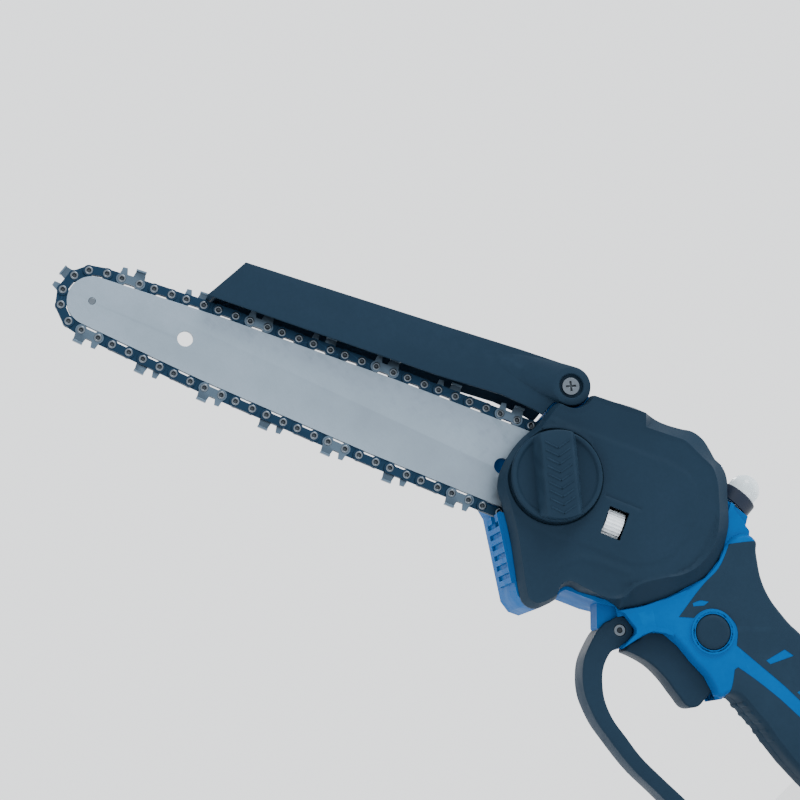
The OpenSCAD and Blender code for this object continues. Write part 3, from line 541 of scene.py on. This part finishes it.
def side_cover():
    """Sloped wall, a face with relief, the window's edge and the hole for the stud."""
    rim, top = smooth(COVER_RIM, 4), smooth(COVER_TOP, 4)
    bm = bmesh.new()
    rows = loft(bm, [(rim, COVER_BACK), (rim, COVER_SHOULDER), (top, COVER_FACE)], (False, False))
    outline = [tuple(v) for v in top]
    x0, x1, z0, z1 = WINDOW
    window = [(x0, z0), (x1, z0), (x1, z1), (x0, z1)]
    n = len(outline)
    points = outline + window + [tuple(g) for g in cover_points(outline, window)]
    edges = [(i, (i + 1) % n) for i in range(n)] + [(n + i, n + (i + 1) % 4) for i in range(4)]
    flat, _, faces, source, _, _ = delaunay_2d_cdt([Vector(q) for q in points], edges, [list(range(n))],
                                                   1, 1e-5)
    q = np.array([tuple(v) for v in flat])
    drop = cover_relief(q) * ease(near(q, outline + outline[:1]), 0.2, 2.2)
    verts = []
    for i, v in enumerate(flat):
        on_ring = [k for k in source[i] if k < n]
        verts.append(rows[-1][on_ring[0]] if on_ring
                     else bm.verts.new((v.x, COVER_FACE + drop[i], v.y)))
    for f in faces:
        c = sum((Vector(flat[i]) for i in f), Vector((0, 0))) / len(f)
        in_window = x0 < c.x < x1 and z0 < c.y < z1
        if not in_window and (c - Vector(STUD)).length >= STUD_HOLE:
            bm.faces.new([verts[i] for i in f])
    window_edges = [e for e in bm.edges if len(e.link_faces) == 1
                    and all(x0 - 0.01 <= v.co.x <= x1 + 0.01 and z0 - 0.01 <= v.co.z <= z1 + 0.01
                            for v in e.verts)]
    for v in bmesh.ops.extrude_edge_only(bm, edges=window_edges)["geom"]:
        if isinstance(v, bmesh.types.BMVert):
            v.co.y = WINDOW_BACK
    obj = finish_mesh(from_head(bm, "side_cover"), SLOT["side_cover"], 24)
    round_edges(obj, 0.6, 3, 24)
    wall = obj.modifiers.new("wall", "SOLIDIFY")
    wall.thickness, wall.offset = 1.6 * MM, -1
    declare(obj, "side_cover")


def clamp_knob(bm):
    """Round knob with a grip bar across it and chevrons on the bar."""
    along, across = Vector((0.4305, -0.9026)), Vector((0.9026, 0.4305))

    def at(u, v):
        return Vector(STUD) + across * u + along * v

    def strip(w, r, n=14):
        """Outline of a circle of radius r cut off w to either side of the bar's middle."""
        sweep = [-w + 2 * w * k / n for k in range(n + 1)]
        return [at(s * u, s * math.sqrt(r * r - u * u)) for s in (1, -1) for u in sweep]

    lathe(bm, STUD, [(9, -24.4), (24.6, -24.4), (25.4, -25.1), (25.5, -25.8), (25.5, -28.4),
                     (25.2, -29.1), (24.6, -29.5), (23.4, -29.5), (22.8, -29.2), (22.2, -28.5),
                     (21.6, -28.2), (9, -28.2)], 128)
    loft(bm, [(strip(12.5, 24.7), -28.0), (strip(9.6, 24.7), -34.9), (strip(9.1, 24.5), -35.9),
              (strip(8.5, 24.1), -36.4), (strip(7.7, 23.4), -36.6)])
    for k in range(-5, 5):
        v = 4.5 * k + 1.6
        for s in (-1, 1):
            a, b = at(-0.25 * s, v + 2.2), at(6.9 * s, v - 2.0)
            if max((a - Vector(STUD)).length, (b - Vector(STUD)).length) > 23.4:
                continue
            d = (b - a).normalized()
            m = Vector((-d.y, d.x)) * 0.62
            loft(bm, [([a + m, b + m, b - m, a - m], -36.4),
                      ([a + m * 0.4, b + m * 0.4, b - m * 0.4, a - m * 0.4], -37.0)])


# ---------- trigger, hoop, guard ----------

def piece(node, draw, smooth_angle=35):
    declare(drawn(draw, node, SLOT[node], smooth_angle), node)


def trigger(bm):
    """Curved finger lever."""
    outline = smooth([(72.7, -71.4), (78, -64), (78.5, -57), (82, -53.6), (88, -53.2), (100, -55.4),
                      (112, -61), (122, -67.5), (127.4, -75), (124.6, -81.6), (121.2, -88.4),
                      (117.2, -89.9), (109.2, -86), (99.1, -79.7), (89, -75.3), (79, -73.7),
                      (73.1, -73.5)], 5)
    prism(bm, outline, -9.9, 9.9, 1.6, 5)


HOOP = [(60, -61), (58.7, -61.4), (54.8, -67.5), (52.9, -76.5), (52.5, -86.5),
        (54.1, -93.5), (59.3, -104.4), (65.4, -111.3), (71.5, -116.8), (79.5, -122.1),
        (99.7, -133.9), (114.8, -140.1), (150, -156), (187, -172),
        (197.5, -165.5), (160, -151.6), (132.8, -138.9), (114.7, -131.6), (99.6, -124.9),
        (89.5, -118.5), (78.4, -111.2), (70.3, -102.3), (67.2, -96.3), (64.6, -88.3),
        (64.5, -81.3), (65.9, -76.3), (68.9, -73.6)]
ROOT = [(49, -54.6), (64, -52), (75, -58.5), (78.9, -63), (70.6, -73.4), (61, -73), (53.6, -67)]
HOOP_SCREW = (65.8, -64.4)
EAR = [(58.4, -62.6), (62.9, -57.2), (64.8, -56.8), (72.3, -61.4), (73, -63.2), (68.7, -73.4), (56, -72)]


def hand_guard():
    """Hoop, and an ear either side of the housing's lug with the screw's hole."""
    slot = SLOT["hand_guard"]
    obj = drawn(lambda b: prism(b, smooth(HOOP, 4), -11, 11, 1.3), "hand_guard", slot)
    carve(obj, solid(lambda b: prism(b, inset(ROOT, -0.15), -8.1, 8.1)))
    outline = smooth(EAR, 5, 60)
    for y0, y1, hole in ((-11.1, -8.15, 3.5), (8.15, 11.1, 2.1)):
        ear = drawn(lambda b: prism(b, outline, y0, y1, 0.5), "ear", slot)
        carve(ear, solid(lambda b: prism(b, circle(HOOP_SCREW, hole), y0 - 3, y0 + 3.5)))
        merge(obj, ear)
    weld(obj, slot)
    declare(obj, "hand_guard")


GUARD = [(-213.3, 24.8), (-208.5, 33.6), (-200.2, 49.8), (-150, 53.5), (-84, 58.4), (-19, 63.2),
         (-8, 63.6), (-5, 58), (-8, 44), (-9.5, 42.3), (-11.4, 42.2), (-13, 40), (-16, 32.4),
         (-16.3, 31.8), (-22, 32.9), (-80, 30.6), (-150, 27.6)]
PIVOT = (-7, 52.6)
PIVOT_HOLE = 4.1


def guard_extras(bm):
    """Roof and end wall of the guard's channel, and the bosses round its pivot."""
    prism(bm, [(-201.4, 47.5), (-200.2, 49.6), (-19, 63.0), (-19, 61)], -13.4, 13.4)
    prism(bm, [(-213.1, 24.9), (-200.2, 49.6), (-198, 47.7), (-210.4, 24.8)], -13.4, 13.4)
    n = 72
    hub = circle(PIVOT, 10.9, n)
    foot = [Vector((q.x - 34 * max(0, (PIVOT[0] - q.x) / 11.5) ** 2, q.y)) for q in circle(PIVOT, 11.5, n)]
    seat = [(PIVOT_HOLE, -12.5), (PIVOT_HOLE, -14.1), (6.6, -14.1), (6.75, -16.3), (7.2, -16.8),
            (10.2, -17)]
    loft(bm, [(circle(PIVOT, r, n), y) for r, y in seat] + [(hub, -16.7), (foot, -13.95), (foot, -12.5)])
    lathe(bm, PIVOT, [(PIVOT_HOLE, 11.2), (10.5, 11.2), (11.4, 12), (11.4, 13.9), (PIVOT_HOLE, 13.9)], n)


def chain_guard():
    """Two walls joined by a roof; open towards the chain."""
    slot = SLOT["chain_guard"]
    outline = smooth(GUARD, 3, 22)
    hole = circle(PIVOT, PIVOT_HOLE, 32)
    obj = drawn(lambda b: prism(b, outline, -14, -12, 0.6), "chain_guard", slot)
    carve(obj, solid(lambda b: prism(b, hole, -18, 0)))
    far = drawn(lambda b: prism(b, outline, 12, 14, 0.6), "far", slot)
    carve(far, solid(lambda b: prism(b, hole, 0, 18)))
    merge(obj, far)
    weld(obj, slot)
    merge(obj, drawn(guard_extras, "extras", slot))
    finish_mesh(obj, slot)
    declare(obj, "chain_guard")


RIVET = [(0.4, -0.9), (1.05, -1.0), (1.15, -2.2), (1.35, -2.45), (1.7, -2.5), (2.1, -2.38),
         (2.3, -2.1), (2.3, -1.95), (1.5, -1.9)]


def loose_parts(bm):
    """Lists of the vertices that hang together."""
    parts, seen = [], set()
    for v in bm.verts:
        if v in seen:
            continue
        stack, group = [v], []
        seen.add(v)
        while stack:
            w = stack.pop()
            group.append(w)
            for o in (e.other_vert(w) for e in w.link_edges):
                if o not in seen:
                    seen.add(o)
                    stack.append(o)
        parts.append(group)
    return parts


def chain_rivets(out):
    """The CAD rivets with a peened ring and a dimple on each head."""
    cad = nodes["chain_rivets"]
    bm = bmesh.new()
    bm.from_mesh(cad.data)
    bmesh.ops.remove_doubles(bm, verts=bm.verts, dist=1e-6)
    to_head = HEAD.inverted() @ cad.matrix_world
    for group in loose_parts(bm):
        middle = Vector([(min(w.co[i] for w in group) + max(w.co[i] for w in group)) / 2
                         for i in range(3)])
        h = to_head @ middle
        lathe(out, (h.x, h.z), RIVET + [(r, -y) for r, y in reversed(RIVET)], 20)
    bm.free()


# ---------- housing halves with a smooth grip, and its rubber ----------

GRIP = [(78, -53), (82.5, -58.5), (89.5, -57.5), (98.8, -60.7),
        (108.9, -66.5), (119, -71.4), (125.2, -76.6), (128, -79.6), (131.5, -79.6), (134.4, -76.3),
        (138.1, -75.1), (147, -78.5), (153, -82), (159, -85), (166.3, -90.2),
        (221, -117.4), (244.2, -70.2), (165.5, -31.2), (160.4, -28.8), (155.4, -26.9),
        (147.3, -22.5), (140.3, -18.1), (135.2, -13.7), (130.1, -7.7), (126, -0.8), (122.9, 5.2),
        (121.5, 9.5), (117, 12), (110, 10), (104, 0), (98, -20), (84, -37), (75, -44.5)]
UPPER_RUBBER = [(126.2, 12.3), (115.5, 7.2), (106.4, 2.3), (105.1, -12.9), (100.2, -24), (93, -46.6),
                (101.5, -44), (104.5, -39), (109, -35.8), (114, -34.8), (119.5, -36.2), (124.4, -38.5),
                (126.5, -41.1), (129.1, -49.6), (144.7, -54.9), (162.7, -61.1), (232, -94), (246, -66),
                (166, -26), (146, -16), (130, -2), (125, 8)]
LOWER_RUBBER = [(133.8, -60.4), (132.4, -62.4), (134, -71.3), (134.1, -79), (150, -86),
                (220, -122), (229, -100), (162.9, -68.6), (138.8, -61.5)]
DASHES = [[(97.9, -36.5), (98.9, -38), (104.4, -35.4), (106.3, -32.4), (101.4, -33.5)],
          [(147.6, -51.3), (150.6, -52.3), (161.5, -43.1), (155.5, -41.7)],
          [(170, -61.5), (173, -62.5), (183.9, -53.3), (177.9, -51.9)]]
ROOM = [(70, -73.2), (76.5, -65.5), (76.5, -52), (84, -47.5), (100, -47.5), (119, -55), (130, -65),
        (131.3, -76), (129, -95), (70, -95)]
WEB = [(60.9, -55.1), (64, -55.6), (73, -60.9), (73.9, -63.6), (69.4, -74.4), (72.6, -70), (78.1, -62.7),
       (82.5, -59.1), (89, -57.7), (94, -57.6), (94, -44), (92.6, -30.2), (83.8, -39.1), (71.5, -48.7)]
LOCK = (113.9, -47.5)
GRIP_FRONT = [(146, -76.2), (153, -79.9), (159, -82.9), (166.3, -88.0), (219, -114.2)]
BUMPER, BUMPER_ALONG = (-20.5, -27), (0.5358, -0.8443)
CHAIN_WAY = [(-45, -20), (-45, -34.4), (20, -34.6), (20, -20)]
LOCK_RING = [(10.1, -13), (10.1, -18.6), (10.5, -19.1), (11.4, -19.1), (11.9, -18.8), (12.6, -17.9),
             (13.6, -17.5), (13.6, -13)]
HALF_GRIP, HALF_ROOM = 17.55, 10.3
CAP_GAP = [(90, 32), (93.6, 29), (98.6, 26.2), (118, 20.6), (125, 45), (90, 45)]
SCREWS = [(92, -32), (128, -28), (200, -84), (143, -68)]


def spaced(line, gap, count):
    """Points at even distances along an open polyline."""
    out, left = [], 0.0
    for a, b in zip(line, line[1:]):
        a, b = Vector(a), Vector(b)
        length = (b - a).length
        while left <= length and len(out) < count:
            out.append(a + (b - a) * (left / length))
            left += gap
        left -= length
    return out


def on_bumper(points):
    """Outline given along the bumper and outward from it."""
    (x, z), (dx, dz) = BUMPER, BUMPER_ALONG
    return [Vector((x + u * dx + w * dz, z + u * dz - w * dx)) for u, w in points]


def bumper(side, slot):
    """Raised spiked-bumper face with six pockets, clear of the chain."""
    pitch, land, low, high = 5.8, 3, 0.3, 1.7
    first, last = 1.5, 40.5
    teeth = [(first, -1)]
    for i in range(7):
        u = 2.5 + pitch * i
        teeth += [(u if i else first, high), (u + land, high)]
        if i < 6:
            teeth += [(u + land + 0.2, low), (u + pitch - 0.2, low)]
    teeth.append((last, -1))
    plain = [(first, -1), (first, high), (last, high), (last, -1)]
    seam, pockets_end, end = (4.7, -11.2, -12.4) if side < 0 else (4.9, 19, 25.8)
    obj = drawn(lambda b: loft(b, [(on_bumper(teeth), seam), (on_bumper(teeth), pockets_end)]),
                "bumper", slot)
    carve(obj, solid(lambda b: prism(b, CHAIN_WAY, -4.4, 5.8)))
    merge(obj, drawn(lambda b: loft(b, [(on_bumper(plain), pockets_end), (on_bumper(plain), end)]),
                     "bumper_end", slot))
    return obj


def grip_skin(bm, side, out):
    """Half of the pistol grip with a rounded rim, out millimetres proud."""
    outline = smooth(GRIP, 4, 75)
    profile = [(0.02, 0.3), (0.5, 0), (6, 0), (10.6, 0), (12.4, 0.2), (14, 0.5), (15.5, 1.0),
               (16.6, 1.6), (17.25, 2.2), (HALF_GRIP, 3.0)]
    loft(bm, [(inset(outline, d - out), side * (y + (out if y > 17 else 0))) for y, d in profile])


def grip_cuts(obj, side):
    """Room for the trigger; the cover's edge on the near half, screw wells on the far one."""
    y0, y1 = (-HALF_ROOM, 1) if side < 0 else (-1, HALF_ROOM)
    carve(obj, solid(lambda b: prism(b, ROOM, y0, y1)))
    if side < 0:
        carve(obj, solid(lambda b: prism(b, inset(smooth(COVER_RIM, 4), -0.3), -30, COVER_BACK + 0.1)))
    else:
        for at in SCREWS:
            carve(obj, solid(lambda b: prism(b, circle(at, 3.4, 32), 10.4, 30)))


def web(bm, side):
    """Face between the hand guard's ear and the grip, above the trigger."""
    prism(bm, WEB, *sorted((side * 10.35, side * 17.45)), 0.5)
    if side < 0:
        prism(bm, [(58.5, -52.5), (70, -44), (76, -50), (62, -58)], -12.7, -10.4)


def housing(node, side):
    """The CAD shell with a smooth grip, the lock button's ring and a clean bumper over it."""
    slot = SLOT[node]
    me = clean_copy(node, weld_only=True)
    me.transform(nodes[node].matrix_world)
    obj = add_object(node, me)
    if side < 0:
        carve(obj, solid(lambda b: prism(b, CAP_GAP, -14, 0.5)))
    cad_ribs = on_bumper([(-1, 0.12), (-1, 4), (46, 4), (46, 0.12)])
    carve(obj, solid(lambda b: prism(b, cad_ribs, -14, 40)))
    bm = bmesh.new()
    bm.from_mesh(obj.data)
    bmesh.ops.dissolve_limit(bm, angle_limit=FLAT, verts=bm.verts, edges=bm.edges)
    bm.to_mesh(obj.data)
    bm.free()
    skin = drawn(lambda b: grip_skin(b, side, 0.04), "skin", slot)
    grip_cuts(skin, side)
    if side < 0:
        carve(skin, solid(lambda b: prism(b, circle(LOCK, 11, 72), -22, -4.8)))
        ring = [(circle(LOCK, r, 96), y) for r, y in LOCK_RING]
        merge(skin, drawn(lambda b: loft(b, ring, (False, False)), "ring", slot))
    merge(skin, drawn(lambda b: web(b, side), "web", slot))
    merge(obj, skin)
    merge(obj, bumper(side, slot))
    weld(obj, slot, 30)
    round_edges(obj, 0.5, 2, 35, harden_normals=True)
    declare(obj, node)


def overmold(node, side):
    """Rubber skin over its zones of the grip, with the dashes open and ribs in front."""
    slot = SLOT[node]
    obj = drawn(lambda b: grip_skin(b, side, 0.22), node, slot)
    lo, hi = (-19, 0.5) if side < 0 else (-0.5, 19)

    def zones(b):
        for zone in (UPPER_RUBBER, LOWER_RUBBER):
            prism(b, inset(smooth(zone, 4, 40), 0.1), lo, hi)

    def ribs(b):
        y0, y1 = (-14.2, -0.3) if side < 0 else (0.3, 14.2)
        for c in spaced(GRIP_FRONT, 6.4, 12):
            prism(b, circle(c, 2.4, 20), y0, y1, 1.6)

    carve(obj, solid(zones), "INTERSECT")
    for dash in DASHES:
        y0, y1 = sorted((side * 15, side * 19))
        carve(obj, solid(lambda b: prism(b, smooth(dash, 4, 30), y0, y1)))
    grip_cuts(obj, side)
    merge(obj, drawn(ribs, "ribs", slot))
    weld(obj, slot, 30)
    round_edges(obj, 0.3, 2, 40, harden_normals=True)
    declare(obj, node)


def lock_button(bm):
    lathe(bm, LOCK, [(9.0, -9.4), (9.9, -9.6), (9.9, -17.6), (9.6, -18.9), (8.9, -19.8), (7.9, -20.2),
                     (6.5, -20.3)], 96)


side_cover()
housing("housing_left", -1)
housing("housing_right", 1)
overmold("overmold_left", -1)
overmold("overmold_right", 1)
piece("lock_button", lock_button)
piece("clamp_knob", clamp_knob, 28)
piece("trigger", trigger)
hand_guard()
chain_guard()
piece("chain_rivets", chain_rivets, 50)
for name in nodes:
    if name not in done:
        polish(name)


# ---------- stage, light, camera ----------

def stage():
    """Pale floor and an even, bright surround."""
    bpy.ops.mesh.primitive_plane_add(size=6, location=(0, 0.6, 0))
    floor = bpy.context.object
    floor.name = "stage_floor"
    n = Nodes("stage_floor")
    tone = n.mix(n.ramp(n.noise(3, 4), 0.3, 0.7), hexc("e4e5e7"), hexc("ececed"))
    floor.data.materials.append(n.done(tone, n.ramp(n.noise(40, 4), 0.3, 0.7, 0.5, 0.6)))
    world = bpy.data.worlds.new("studio")
    bpy.context.scene.world = world
    world.use_nodes = True
    back = world.node_tree.nodes["Background"]
    back.inputs["Color"].default_value = (0.93, 0.95, 0.97, 1)
    back.inputs["Strength"].default_value = 1.9


def lamp(name, where, aim, size, power):
    """Soft rectangular light, unseen by the camera."""
    data = bpy.data.lights.new(name, "AREA")
    data.shape = "RECTANGLE"
    data.size, data.size_y = size
    data.energy = power
    obj = add_object(name, data)
    obj.location = where
    obj.rotation_euler = (Vector(aim) - Vector(where)).to_track_quat("-Z", "Y").to_euler()
    obj.visible_camera = False


stage()
lamp("key", (1.9, -1.1, 2.0), (0, 0, 0.9), (1.1, 1.1), 60)
lamp("fill", (-1.8, -1.5, 0.9), (0, 0, 0.9), (1.4, 1.4), 12)
lamp("rim", (0.4, 1.9, 2.2), (0, 0, 0.9), (1.2, 0.8), 40)

# Lens and place fitted to the photo
cam_data = bpy.data.cameras.new("camera")
cam_data.lens = 120.8
cam_data.sensor_width = 36
cam = add_object("camera", cam_data)
right = Vector((0.72005, -0.15434, -0.67655))
up = Vector((0.65929, -0.15201, 0.73636))
back = right.cross(up)
cam.matrix_world = Matrix.Translation((-0.3726, -1.4587, 1.0168)) @ Matrix(
    (right, up, back)).transposed().to_4x4()
bpy.context.scene.camera = cam
